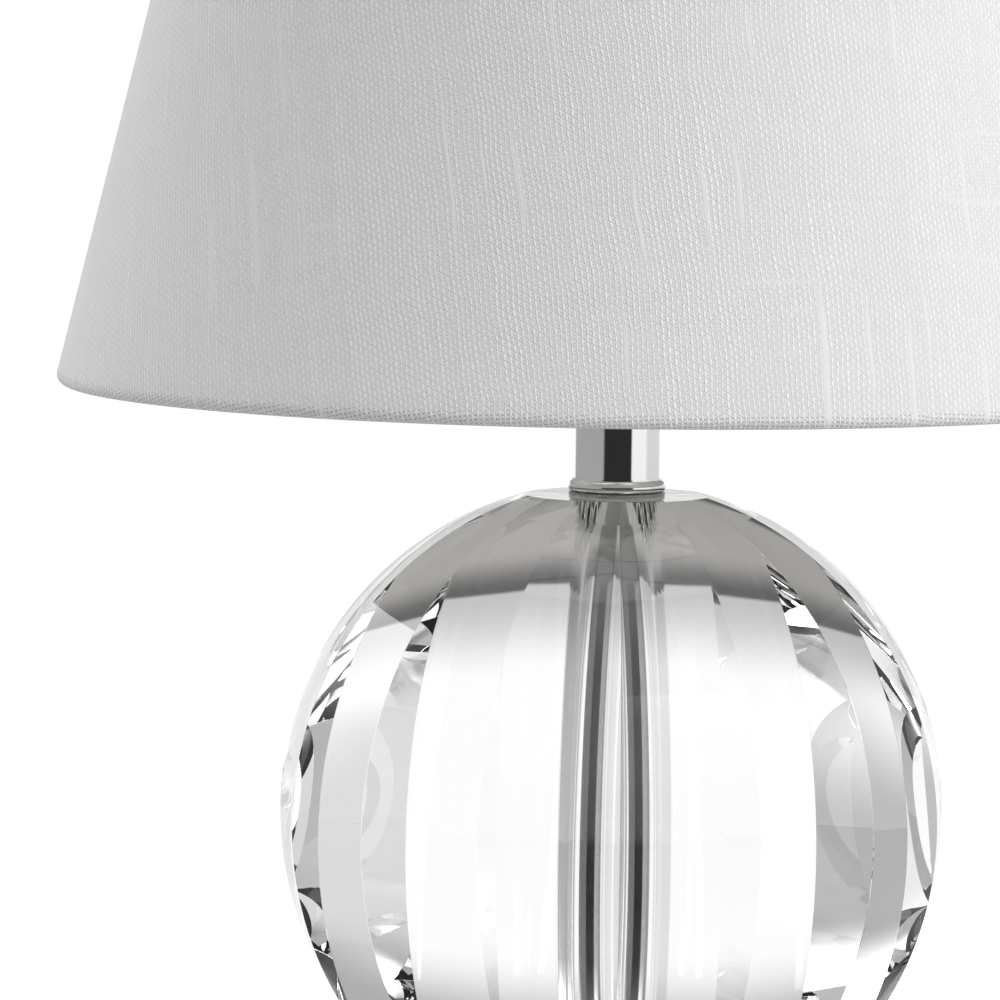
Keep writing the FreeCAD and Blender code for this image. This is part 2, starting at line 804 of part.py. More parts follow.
def bulb_dome():
    inner = BULB_R - 1.2
    inner_r = math.sqrt(inner**2 - (DOME_Z - HOUSING_TOP_Z) ** 2)
    return turned(
        [
            (HOUSING_TOP_R, HOUSING_TOP_Z),
            (*dome_point(BULB_R, 0), dome_point(BULB_R, 60)),
            dome_point(inner, 0),
            (inner_r, HOUSING_TOP_Z, dome_point(inner, 60)),
        ]
    )


# ---- write -------------------------------------------------------------------------------

NODES = {
    "felt_pad": felt_pad(),
    "bottom_plate": bottom_plate(),
    "foot_shell": foot_shell(),
    "cord_grommet": cord_grommet(),
    "foot_washer": foot_washer(),
    "foot_nut": foot_nut(),
    "lower_collar": lower_collar(),
    "lower_gasket": lower_gasket(),
    "crystal_ball": crystal_ball(),
    "lamp_pipe": lamp_pipe(),
    "upper_gasket": upper_gasket(),
    "upper_collar": upper_collar(),
    "neck_tube": neck_tube(),
    "neck_cap": neck_cap(),
    "saddle": saddle(),
    "harp": harp(),
    "ferrule_left": ferrule(-1),
    "ferrule_right": ferrule(1),
    "swivel_stud": swivel_stud(),
    "shade_fabric": shade_fabric(),
    "shade_liner": shade_liner(),
    "shade_bottom_ring": shade_bottom_ring(),
    "shade_fitter": shade_fitter(),
    "finial_base": finial_base(),
    "finial_ball": finial_ball(),
    "socket_cap": socket_cap(),
    "socket_set_screw": socket_set_screw(),
    "socket_shell": socket_shell(),
    "socket_insulator": socket_insulator(),
    "socket_body": socket_body(),
    "terminal_screws": terminal_screws(),
    "socket_screw_shell": socket_screw_shell(),
    "socket_contact": socket_contact(),
    "switch_knob": switch_knob(),
    "bulb_contact": bulb_contact(),
    "bulb_insulator": bulb_insulator(),
    "bulb_screw": bulb_screw(),
    "bulb_housing": bulb_housing(),
    "bulb_led_board": bulb_led_board(),
    "bulb_dome": bulb_dome(),
}

os.makedirs("parts", exist_ok=True)
for name, shape in NODES.items():
    if not shape.isValid():
        print("not valid:", name)
    shape.exportStep(f"parts/{name}.step")
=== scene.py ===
"""Looks for the crystal table lamp: materials, cut crystal, sewn linen shade, bulb thread and studio."""

import json
import math

import bpy
import numpy as np
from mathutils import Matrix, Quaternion, Vector


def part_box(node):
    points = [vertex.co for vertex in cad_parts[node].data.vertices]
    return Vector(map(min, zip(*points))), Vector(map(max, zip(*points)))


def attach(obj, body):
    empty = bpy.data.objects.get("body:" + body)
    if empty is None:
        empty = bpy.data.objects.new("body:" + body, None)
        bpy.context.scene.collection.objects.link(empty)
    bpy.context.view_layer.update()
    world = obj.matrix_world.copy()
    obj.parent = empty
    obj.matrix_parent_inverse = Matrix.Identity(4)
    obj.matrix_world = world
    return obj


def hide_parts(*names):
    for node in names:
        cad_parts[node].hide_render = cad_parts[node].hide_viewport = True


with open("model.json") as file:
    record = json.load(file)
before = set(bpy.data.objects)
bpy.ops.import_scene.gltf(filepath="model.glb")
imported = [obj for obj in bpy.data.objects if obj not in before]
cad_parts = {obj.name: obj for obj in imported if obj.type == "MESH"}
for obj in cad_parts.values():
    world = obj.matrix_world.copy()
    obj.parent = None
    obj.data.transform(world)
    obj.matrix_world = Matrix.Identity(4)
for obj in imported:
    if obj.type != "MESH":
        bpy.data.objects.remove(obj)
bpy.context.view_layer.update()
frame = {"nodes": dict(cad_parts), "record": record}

MM = 0.001

# ---- places and sizes, read from the frame -----------------------------------------------


def reach(node):
    """A round node's radius, and its lowest and highest z."""
    low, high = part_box(node)
    return max(high.x, high.y), low.z, high.z


BALL_R = 99.0 * MM
BALL_SIDES = 15
BALL_TURN = math.radians(0.5)
_, BALL_LOW, BALL_HIGH = reach("crystal_ball")
BALL_Z = (BALL_LOW + BALL_HIGH) / 2
BORE_R = 10.0 * MM

SHADE_R, SHADE_LOW, SHADE_HIGH = reach("shade_fabric")
SHADE_TOP_R = 114.3 * MM
LEAN = math.atan2(SHADE_R - SHADE_TOP_R, SHADE_HIGH - SHADE_LOW)
CLOTH_T = 0.5 * MM
HEM_DEPTH = 10.0 * MM
SKIN_R = 2.35 * MM  # a ring's wire centre to the middle of the cloth
SEAM = math.radians(120)  # the seam's bearing, counted from the lamp's right towards its back
FITTER_ARMS = [math.radians(a) for a in (90, 210, 330)]


# ---- node trees --------------------------------------------------------------------------


class Nodes:
    """A node tree, with short ways to add nodes.  Values may be numbers, tuples or other nodes' sockets."""

    def __init__(self, tree):
        self.tree = tree
        tree.nodes.clear()

    def add(self, kind, settings=None, **sockets):
        node = self.tree.nodes.new(kind)
        for name, value in (settings or {}).items():
            setattr(node, name, value)
        for name, value in sockets.items():
            self.join(node.inputs[name.replace("_", " ")], value)
        return node

    def join(self, socket, value):
        if isinstance(value, bpy.types.NodeSocket):
            self.tree.links.new(value, socket)
        else:
            socket.default_value = value

    def math(self, operation, *values):
        node = self.add("ShaderNodeMath", {"operation": operation})
        for socket, value in zip(node.inputs, values):
            self.join(socket, value)
        return node.outputs[0]

    def dot(self, vector, x, y, z=0.0):
        node = self.add("ShaderNodeVectorMath", {"operation": "DOT_PRODUCT"})
        self.join(node.inputs[0], vector)
        self.join(node.inputs[1], (x, y, z))
        return node.outputs["Value"]

    def vector(self, x, y, z=0.0):
        return self.add("ShaderNodeCombineXYZ", X=x, Y=y, Z=z).outputs[0]

    def scaled(self, vector, x, y, z):
        node = self.add("ShaderNodeVectorMath", {"operation": "MULTIPLY"})
        self.join(node.inputs[0], vector)
        self.join(node.inputs[1], (x, y, z))
        return node.outputs[0]

    def noise(self, vector, scale, detail=2.0, roughness=0.5):
        node = self.add("ShaderNodeTexNoise", Vector=vector, Scale=scale, Detail=detail, Roughness=roughness)
        return node.outputs["Fac"]

    def random(self, *values):
        """A fixed random number for each whole number."""
        vector = self.vector(*values)
        return self.add("ShaderNodeTexWhiteNoise", Vector=vector).outputs["Value"]

    def ramp(self, value, low, high, start=0.0, end=1.0):
        """Maps low..high to start..end, held outside."""
        node = self.add("ShaderNodeMapRange", Value=value, From_Min=low, From_Max=high, To_Min=start, To_Max=end)
        return node.outputs[0]

    def smooth(self, value, low, high, start=0.0, end=1.0):
        settings = {"interpolation_type": "SMOOTHSTEP"}
        sockets = {"Value": value, "From_Min": low, "From_Max": high, "To_Min": start, "To_Max": end}
        return self.add("ShaderNodeMapRange", settings, **sockets).outputs[0]

    def mixed(self, factor, first, second):
        """A number between two."""
        return self.add("ShaderNodeMix", {"data_type": "FLOAT"}, Factor=factor, A=first, B=second).outputs[0]

    def blend(self, factor, first, second):
        """A colour between two."""
        node = self.add("ShaderNodeMix", {"data_type": "RGBA"})
        self.join(node.inputs[0], factor)
        self.join(node.inputs[6], (*first, 1.0) if isinstance(first, tuple) else first)
        self.join(node.inputs[7], (*second, 1.0) if isinstance(second, tuple) else second)
        return node.outputs[2]

    def bump(self, height, distance, strength=1.0):
        return self.add("ShaderNodeBump", Height=height, Distance=distance, Strength=strength).outputs[0]

    def place(self):
        """Where a point is on the object, in metres."""
        return self.add("ShaderNodeTexCoord").outputs["Object"]


def material(name, build):
    """A material whose Principled shader gets the sockets that build returns."""
    made = bpy.data.materials.new(name)
    made.use_nodes = True
    nodes = Nodes(made.node_tree)
    shader = nodes.add("ShaderNodeBsdfPrincipled")
    for socket, value in build(nodes).items():
        nodes.join(shader.inputs[socket], value)
    output = nodes.add("ShaderNodeOutputMaterial")
    nodes.tree.links.new(shader.outputs[0], output.inputs["Surface"])
    return made


def grey(value):
    return (value, value, value)


# ---- metals ------------------------------------------------------------------------------


def metal(name, dull, bright, roughness, grain=(0, 0, 0), wear=0.04):
    """Plated or plain metal: its tone and gloss drift a little, and grain stretches fine scratches."""

    def build(n):
        place = n.place()
        drift = n.noise(place, 35, 4)
        marks = n.noise(n.scaled(place, *grain) if any(grain) else place, 900, 3, 0.6)
        colour = n.blend(n.smooth(drift, 0.3, 0.7), dull, bright)
        mixed = n.math("ADD", n.math("MULTIPLY", drift, 0.5), n.math("MULTIPLY", marks, 0.5))
        rough = n.ramp(mixed, 0.35, 0.65, roughness, roughness + wear)
        normal = n.bump(marks, 0.01 * MM, 0.12 if any(grain) else 0.02)
        return {"Base Color": colour, "Metallic": 1.0, "Roughness": rough, "Normal": normal}

    return material(name, build)


def plastic(name, low, high, roughness, texture=600, depth=0.03):
    """Moulded plastic with a fine cast texture and slightly uneven gloss."""

    def build(n):
        place = n.place()
        fine = n.noise(place, texture, 3)
        broad = n.noise(place, 40, 3)
        rough = n.ramp(broad, 0.3, 0.7, roughness - 0.05, roughness + 0.08)
        colour = n.blend(n.smooth(broad, 0.3, 0.7), low, high)
        return {"Base Color": colour, "Roughness": rough, "Normal": n.bump(fine, depth * MM, 0.4)}

    return material(name, build)


# ---- glass -------------------------------------------------------------------------------


def crystal(name):
    """Polished lead-free crystal."""

    def build(n):
        return {"Base Color": (0.985, 0.99, 0.99, 1), "Transmission Weight": 1.0, "IOR": 1.52, "Roughness": 0.0}

    return material(name, build)


def clear_plastic(name):
    def build(n):
        haze = n.noise(n.place(), 180, 3)
        rough = n.ramp(haze, 0.3, 0.7, 0.2, 0.32)
        return {"Base Color": (0.93, 0.94, 0.94, 1), "Transmission Weight": 0.6, "IOR": 1.45, "Roughness": rough}

    return material(name, build)


# ---- linen -------------------------------------------------------------------------------

WARP_PITCH = 1.454 * MM  # between the upright threads
WEFT_PITCH = 1.105 * MM
WARP_TURN = math.radians(7.05)  # how far the threads lean on the cut cloth
WEFT_TURN = math.radians(3.65)
# The warp's tone is set light to paint a highlight on the crests of its floats.
WEFT_TONE, WARP_TONE_AND_HIGHLIGHT, SLUB_TONE = grey(0.81), grey(0.98), grey(0.88)
RELIEF = 0.35 * MM


def wander(n, cloth, seed):
    """How far the threads stray sideways, in threads."""
    spot = n.vector(n.dot(cloth, 1, 0), n.dot(cloth, 0, 1), seed)
    broad = n.math("SUBTRACT", n.noise(spot, 28, 2), 0.5)
    fine = n.math("SUBTRACT", n.noise(spot, 300, 2), 0.5)
    return n.math("ADD", n.math("MULTIPLY", broad, 3.0), n.math("MULTIPLY", fine, 0.5))


def threads(n, cloth, pitch, x, y, seed):
    """One set of parallel threads: the place across them, and each thread's number."""
    across = n.math("ADD", n.dot(cloth, x / pitch, y / pitch), wander(n, cloth, seed))
    return across, n.math("FLOOR", across)


def slubs(n, across, along, group, seed, amount):
    """Slubs: here and there one thread out of a group swells and crowds its neighbours.  1 on a slub's crest."""
    band = n.math("FLOOR", n.math("DIVIDE", across, group))
    middle = n.math("MULTIPLY", n.math("ADD", band, n.math("MULTIPLY_ADD", n.random(band, seed), 0.6, 0.2)), group)
    spot = n.vector(n.math("MULTIPLY", band, 5.37), n.math("MULTIPLY", along, 0.022), seed)
    swollen = n.smooth(n.noise(spot, 1.0, 1, 0.4), amount, amount + 0.12)
    half = n.math("MULTIPLY_ADD", n.random(band, seed, 1.0), 0.5, 0.4)
    half = n.math("MULTIPLY", half, n.math("MULTIPLY_ADD", swollen, 0.7, 0.3))
    aside = n.math("DIVIDE", n.math("ABSOLUTE", n.math("SUBTRACT", across, middle)), half)
    return n.math("MULTIPLY", swollen, n.smooth(aside, 0.2, 1.3, 1.0, 0.0))


def thread_shape(n, across, number, width, seed):
    """Rounded height across a thread, 1 on its crest and 0 beside it."""
    inside = n.math("SUBTRACT", n.math("FRACT", across), 0.5)
    full = n.math("MULTIPLY_ADD", n.random(number, seed), 0.22, width)
    part = n.math("DIVIDE", n.math("MULTIPLY", inside, 2.0), full)
    return n.math("MAXIMUM", n.math("SUBTRACT", 1.0, n.math("MULTIPLY", part, part)), 0.0)


def passes_over(n, along, number, shift):
    """1 where a thread of a plain weave passes over the others, and 0 where it passes under."""
    phase = n.math("MULTIPLY", n.math("ADD", n.math("ADD", along, number), shift), math.pi)
    return n.smooth(n.math("COSINE", phase), -1.0, -0.5)


def unbacked(n, cloth):
    """1 along the two edges of the shade, where no backing shows behind the threads."""
    down = n.add("ShaderNodeVectorMath", {"operation": "LENGTH"})
    n.join(down.inputs[0], cloth)
    apex = SHADE_TOP_R / math.sin(LEAN)
    edge = SHADE_R / math.sin(LEAN)
    low_hem = n.smooth(down.outputs["Value"], edge - 6.5 * MM, edge - 5.5 * MM)
    high_hem = n.smooth(down.outputs["Value"], apex + 5.0 * MM, apex + 6.0 * MM, 1.0, 0.0)
    return n.math("MAXIMUM", low_hem, high_hem)


def linen(name):
    """Plain-woven slub linen, laid out on the cut cloth.  Bare of its backing at the hems. It carries painted shade
    between the threads, darkest at the bare hems, and a painted highlight on the warp's crests.
    """

    def build(n):
        cloth = n.add("ShaderNodeUVMap", {"uv_map": "cloth"}).outputs[0]
        warp, warp_number = threads(n, cloth, WARP_PITCH, math.cos(WARP_TURN), math.sin(WARP_TURN), 1.0)
        weft, weft_number = threads(n, cloth, WEFT_PITCH, -math.sin(WEFT_TURN), math.cos(WEFT_TURN), 5.0)
        warp_swell = slubs(n, warp, weft, 6.0, 2.0, 0.52)
        weft_swell = slubs(n, weft, warp, 9.0, 9.0, 0.58)
        swell = n.math("MAXIMUM", warp_swell, n.math("MULTIPLY", weft_swell, 0.7))
        warp_shape = thread_shape(n, warp, warp_number, 0.38, 3.0)
        bare = unbacked(n, cloth)
        weft_shape = thread_shape(n, weft, weft_number, n.math("MULTIPLY_ADD", bare, -0.22, 0.98), 7.0)
        over = passes_over(n, weft, warp_number, 0.5)
        under = passes_over(n, warp, weft_number, 0.5)
        own = n.random(warp_number, weft_number, 4.0)
        rise = n.math("MULTIPLY_ADD", own, 0.35, 0.65)
        warp_rise = n.math("MULTIPLY", over, rise)
        warp_height = n.math("MULTIPLY", warp_shape, n.math("MULTIPLY_ADD", warp_rise, 0.85, 0.15))
        weft_height = n.math("MULTIPLY", weft_shape, n.math("MULTIPLY_ADD", under, 0.12, 0.22))
        plain = n.math("MULTIPLY_ADD", swell, -0.5, 1.0)
        warp_height = n.math("MULTIPLY", warp_height, plain)
        height = n.math("MAXIMUM", n.math("MAXIMUM", warp_height, weft_height), n.math("MULTIPLY", swell, 0.45))
        fuzz = n.noise(cloth, 5000, 3, 0.7)
        fibres = n.noise(n.scaled(cloth, 1, 0.12, 1), 2600, 2)
        height = n.math("MULTIPLY_ADD", fuzz, 0.16, height)
        height = n.math("MULTIPLY_ADD", n.math("MULTIPLY", fibres, warp_swell), 0.3, height)
        # Painted shade: the gaps and low parts of the weave are darker than the threads, and darker still along the
        # bare hems.
        gap = n.blend(bare, grey(0.75), grey(0.52))
        tone = n.blend(n.smooth(height, 0.08, 0.36), gap, WEFT_TONE)
        # Painted highlight: the warp's floats turn lighter towards their raised crests, over the yarn's own tone.
        tone = n.blend(n.smooth(warp_height, 0.38, 0.75), tone, WARP_TONE_AND_HIGHLIGHT)
        tone = n.blend(n.math("MULTIPLY", swell, 0.45), tone, SLUB_TONE)
        drift = n.noise(cloth, 18, 4)
        tone = n.blend(n.ramp(drift, 0.3, 0.7, 0.0, 0.06), tone, grey(0.6))
        return {
            "Base Color": tone,
            "Roughness": n.ramp(warp_height, 0.0, 1.0, 0.95, 0.55),
            "Specular IOR Level": n.ramp(warp_height, 0.2, 1.0, 0.15, 0.6),
            "Sheen Weight": 0.1,
            "Sheen Roughness": 0.5,
            "Normal": n.bump(height, RELIEF, 0.9),
        }

    return material(name, build)


def felt(name):
    def build(n):
        place = n.place()
        fibres = n.noise(place, 2600, 5, 0.75)
        tufts = n.noise(place, 220, 3)
        colour = n.blend(n.smooth(fibres, 0.3, 0.75), grey(0.018), grey(0.075))
        height = n.math("ADD", n.math("MULTIPLY", fibres, 0.6), n.math("MULTIPLY", tufts, 0.5))
        return {"Base Color": colour, "Roughness": 0.95, "Sheen Weight": 0.3, "Normal": n.bump(height, 0.3 * MM, 0.8)}

    return material(name, build)


def card(name):
    def build(n):
        fibres = n.noise(n.scaled(n.place(), 1, 1, 0.15), 1400, 4, 0.7)
        colour = n.blend(n.smooth(fibres, 0.3, 0.7), (0.21, 0.13, 0.075), (0.33, 0.21, 0.12))
        return {"Base Color": colour, "Roughness": 0.8, "Normal": n.bump(fibres, 0.05 * MM, 0.5)}

    return material(name, build)


def styrene(name):
    """The shade's stiff lining: white, satin, with a faint grain."""

    def build(n):
        place = n.place()
        broad = n.noise(place, 14, 3)
        fine = n.noise(place, 1500, 2)
        colour = n.blend(n.smooth(broad, 0.3, 0.7), (0.76, 0.74, 0.71), (0.81, 0.79, 0.76))
        return {"Base Color": colour, "Roughness": 0.55, "Normal": n.bump(fine, 0.02 * MM, 0.3)}

    return material(name, build)


def milky(name):
    """The bulb's diffuser: light goes in and scatters."""

    def build(n):
        grain = n.noise(n.place(), 900, 2)
        return {
            "Base Color": (0.93, 0.93, 0.91, 1),
            "Roughness": n.ramp(grain, 0.3, 0.7, 0.28, 0.36),
            "Subsurface Weight": 0.35,
            "Subsurface Radius": (0.01, 0.01, 0.009),
            "Subsurface Scale": 0.3,
        }

    return material(name, build)


FINISHES = {
    "chrome": metal("chrome", grey(0.80), grey(0.84), 0.025, wear=0.03),
    "crystal": crystal("crystal"),
    "clear_plastic": clear_plastic("clear_plastic"),
    "nickel": metal("nickel", (0.56, 0.54, 0.51), (0.64, 0.62, 0.59), 0.2, (1, 1, 0.1), 0.12),
    "zinc_steel": metal("zinc_steel", (0.50, 0.51, 0.53), (0.60, 0.61, 0.63), 0.26, (1, 1, 0.2), 0.14),
    "bright_steel": metal("bright_steel", grey(0.38), grey(0.44), 0.06, (1, 1, 0.05), 0.05),
    "white_wire": plastic("white_wire", grey(0.78), grey(0.84), 0.35, 900, 0.02),
    "linen": linen("linen"),
    "liner": styrene("styrene"),
    "felt": felt("felt"),
    "brass": metal("brass", (0.70, 0.50, 0.22), (0.80, 0.60, 0.30), 0.18, (1, 1, 0.2), 0.14),
    "black_plastic": plastic("black_plastic", grey(0.012), grey(0.022), 0.38),
    "card": card("card"),
    "bulb_cap": metal("bulb_cap", grey(0.62), grey(0.72), 0.16, (1, 1, 0.1), 0.12),
    "bulb_white": plastic("bulb_white", grey(0.80), grey(0.86), 0.3),
    "bulb_dome": milky("milky_dome"),
    "circuit_board": plastic("circuit_board", grey(0.72), grey(0.78), 0.45),
}


def dress_cad_nodes():
    """Gives every CAD node the finish of its material slot."""
    slots = {part["node"]: part["material_slot"] for part in frame["record"]["subparts"]}
    for name, node in frame["nodes"].items():
        node.data.materials.clear()
        node.data.materials.append(FINISHES[slots[name]])


# ---- mesh making -------------------------------------------------------------------------


def piece(name, points, faces, finish, body, replaced=(), smooth=True):
    """A mesh object that rides on a body and stands for some CAD nodes."""
    mesh = bpy.data.meshes.new(name)
    mesh.from_pydata(points, [], faces)
    mesh.update()
    if smooth:
        mesh.shade_smooth()
    made = bpy.data.objects.new(name, mesh)
    bpy.context.scene.collection.objects.link(made)
    mesh.materials.append(FINISHES[finish])
    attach(made, body)
    if replaced:
        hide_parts(*replaced)
    return made


def mark_sharp(mesh, limit):
    """Makes each edge sharp where its two faces meet at more than the limit, in degrees."""
    mesh.set_sharp_from_angle(angle=math.radians(limit))


def cut_crystal(name, radius, half_height, sides, z, turn, body, replaced, bore=None, steps=192, bevel=0.12 * MM):
    """Facets flat across and curved upwards, with a hair-fine bevel along each ridge."""
    points, faces = [], []
    top = math.asin(half_height / radius)
    half_facet = math.pi / sides
    count = 2 * sides
    levels = [math.sin(-top + 2 * top * i / steps) for i in range(steps + 1)]
    for level in levels:
        corner = math.sqrt(1 - level * level) * radius
        side = 2 * corner * math.sin(half_facet)
        share = bevel / side
        for i in range(sides):
            here = turn + 2 * half_facet * i - math.pi / 2
            a = Vector((math.cos(here), math.sin(here), 0)) * corner
            b = Vector((math.cos(here + 2 * half_facet), math.sin(here + 2 * half_facet), 0)) * corner
            for part in (share, 1 - share):
                spot = a.lerp(b, part)
                points.append((spot.x, spot.y, z + level * radius))
    for i in range(steps):
        for j in range(count):
            k = (j + 1) % count
            low, high = i * count, (i + 1) * count
            faces.append((low + j, low + k, high + k, high + j))
    cap_rims = [[steps * count + j for j in range(count)], [j for j in reversed(range(count))]]
    if bore:
        add_bore(points, faces, cap_rims, bore, (z + half_height, z - half_height))
    else:
        faces += cap_rims
    made = piece(name, points, faces, "crystal", body, replaced)
    mark_sharp(made.data, 5)
    return made


def add_bore(points, faces, rims, bore, heights, around=96, chamfer=0.3 * MM):
    """Joins the two flats through a round bore whose mouths are lightly chamfered."""
    rings = []
    spots = (
        (bore + chamfer, heights[0]),
        (bore, heights[0] - chamfer),
        (bore, heights[1] + chamfer),
        (bore + chamfer, heights[1]),
    )
    for radius, height in spots:
        rings.append(range(len(points), len(points) + around))
        for i in range(around):
            angle = 2 * math.pi * i / around - math.pi / 2
            points.append((radius * math.cos(angle), radius * math.sin(angle), height))
    for upper, lower in zip(rings, rings[1:]):
        for i in range(around):
            k = (i + 1) % around
            faces.append((upper[i], upper[k], lower[k], lower[i]))
    top_ring, bottom_ring = list(rings[0]), list(rings[-1])[::-1]
    for rim, ring in ((rims[0], top_ring), (rims[1], bottom_ring)):
        faces += flat_between(points, rim, ring)


def flat_between(points, rim, ring):
    """Triangles that fill the flat between an outer rim and an inner ring, both walked the same way."""
    made = []
    i = j = 0
    start = min(range(len(ring)), key=lambda k: (Vector(points[ring[k]]) - Vector(points[rim[0]])).length)
    ring = ring[start:] + ring[:start]
    while i < len(rim) or j < len(ring):
        rim_next, ring_next = rim[(i + 1) % len(rim)], ring[(j + 1) % len(ring)]
        here, there = rim[i % len(rim)], ring[j % len(ring)]
        ahead = i / len(rim) <= j / len(ring)
        if (ahead and i < len(rim)) or j >= len(ring):
            made.append((here, rim_next, there))
            i += 1
        else:
            made.append((here, ring_next, there))
            j += 1
    return made


# ---- shade -------------------------------------------------------------------------------


def cloth_line():
    """The cloth's middle line from its hem inside the top ring to its hem inside the bottom ring.

    Points are (r, z, how far down the cut cloth).
    """
    down = Vector((math.sin(LEAN), -math.cos(LEAN)))
    out = Vector((math.cos(LEAN), math.sin(LEAN)))
    edge = SKIN_R + CLOTH_T / 2
    low = Vector((SHADE_R - edge, SHADE_LOW + edge))
    high_z = SHADE_HIGH - edge
    high = Vector((low.x - (high_z - low.y) * math.tan(LEAN), high_z))
    line = []
    leaf_steps, arc_steps, slope_steps = 4, 12, 40
    for i in range(leaf_steps):
        line.append(high - out * SKIN_R + down * HEM_DEPTH * (1 - i / leaf_steps))
    for i in range(arc_steps):
        turn = math.pi * i / arc_steps
        line.append(high - out * SKIN_R * math.cos(turn) - down * SKIN_R * math.sin(turn))
    for i in range(slope_steps):
        line.append((high + out * SKIN_R).lerp(low + out * SKIN_R, i / slope_steps))
    for i in range(arc_steps):
        turn = math.pi * i / arc_steps
        line.append(low + out * SKIN_R * math.cos(turn) + down * SKIN_R * math.sin(turn))
    for i in range(leaf_steps + 1):
        line.append(low - out * SKIN_R - down * HEM_DEPTH * i / leaf_steps)
    first = leaf_steps + arc_steps  # the start of the slope, whose place on the cloth is known
    apex = SHADE_TOP_R / math.sin(LEAN)
    spots = [0.0]
    for a, b in zip(line, line[1:]):
        spots.append(spots[-1] + (b - a).length)
    return [(p.x, p.y, apex + s - spots[first]) for p, s in zip(line, spots)]


def linen_skin():
    """One cut of linen, wrapped round the rings and lapped over itself at the back."""
    around = 720
    lap = 9 * MM / SHADE_R
    start, end = SEAM, SEAM + 2 * math.pi
    lift = 0.62 * MM
    line = cloth_line()
    rows = len(line)
    rng = np.random.default_rng(7)
    waves = rng.uniform(0, 2 * math.pi, 8)
    points, cuts, faces = [], [], []
    turns = [start + lap * s for s in (-0.5, -0.42)]
    turns += list(np.linspace(start - 0.3 * lap, end - 0.7 * lap, around))
    turns += [end + lap * s for s in (-0.58, -0.5, -0.3, -0.1, 0.2, 0.42, 0.5)]
    for turn in turns:
        past = (turn - end) / lap
        raised = lift * min(max(past + 0.62, 0.0) / 0.12, 1.0)
        for i, (r, z, down) in enumerate(line):
            wave = sum(math.sin((k + 2) * turn + waves[k] + 9 * down) for k in range(8)) / 8
            inside = i < 10 or i > rows - 10
            swing = r + (-raised if inside else raised) + 0.12 * MM * wave
            points.append((swing * math.cos(turn), swing * math.sin(turn), z))
            sector = (turn - 3 * math.pi / 2) * math.sin(LEAN)
            cuts.append((down * math.sin(sector), -down * math.cos(sector)))
    for j in range(len(turns) - 1):
        middle = (turns[j] + turns[j + 1]) / 2
        notch = min(abs(math.remainder(middle - arm, 2 * math.pi)) for arm in FITTER_ARMS) < math.radians(1.1)
        for i in range(8 if notch else 0, rows - 1):
            a, b = j * rows + i, (j + 1) * rows + i
            faces.append((a, a + 1, b + 1, b))
    made = piece("linen_skin", points, faces, "linen", "shade", ["shade_fabric"])
    layer = made.data.uv_layers.new(name="cloth")
    for loop in made.data.loops:
        layer.data[loop.index].uv = cuts[loop.vertex_index]
    thick = made.modifiers.new("thickness", "SOLIDIFY")
    thick.thickness = CLOTH_T
    thick.offset = 0
    sector = 2 * math.pi * math.sin(LEAN) + lap * math.sin(LEAN)
    return made


# ---- bulb --------------------------------------------------------------------------------


def bulb_thread():
    """The bulb's cap with a real helix rolled into it."""
    radius, low, high = reach("bulb_screw")
    pitch, depth = 3.6 * MM, 0.8 * MM
    around, steps = 72, 96
    points, faces = [], []
    for i in range(steps + 1):
        z = low + (high - low) * i / steps
        fade = min(1.0, max(0.0, (z - low - 0.6 * MM) / (2 * MM)), max(0.0, (high - 1.2 * MM - z) / (2 * MM)))
        foot = 9.6 * MM + (radius - depth - 9.6 * MM) * min(1.0, (z - low) / (1.2 * MM)) ** 0.5
        for j in range(around):
            turn = 2 * math.pi * j / around
            wave = 0.5 + 0.5 * math.cos(2 * math.pi * (z / pitch) - turn)
            r = foot + depth * fade * wave
            points.append((r * math.cos(turn), r * math.sin(turn), z))
    for i in range(steps):
        for j in range(around):
            k = (j + 1) % around
            faces.append((i * around + j, i * around + k, (i + 1) * around + k, (i + 1) * around + j))
    faces.append(tuple(reversed(range(around))))
    faces.append(tuple(steps * around + j for j in range(around)))
    made = piece("bulb_thread", points, faces, "bulb_cap", "bulb", ["bulb_screw"])
    mark_sharp(made.data, 50)
    return made


# ---- studio ------------------------------------------------------------------------------


def bearing(n, parts):
    """Degrees round the lamp: 0 towards its front, + towards its right."""
    turn = n.math("ARCTAN2", parts.outputs[0], n.math("MULTIPLY", parts.outputs[1], -1.0))
    return n.math("MULTIPLY", turn, 180 / math.pi)


def bearing_level(n, degrees, front):
    """How bright the room is round the lamp: darker on its left, white behind."""
    level = n.math("ADD", n.smooth(degrees, -41, -33, 0.42, front), n.smooth(degrees, 35, 41, 0.0, 1.05 - front))
    level = n.mixed(n.smooth(degrees, 78, 90), level, 0.78)
    return n.mixed(n.smooth(n.math("ABSOLUTE", degrees), 145, 154), level, 1.05)


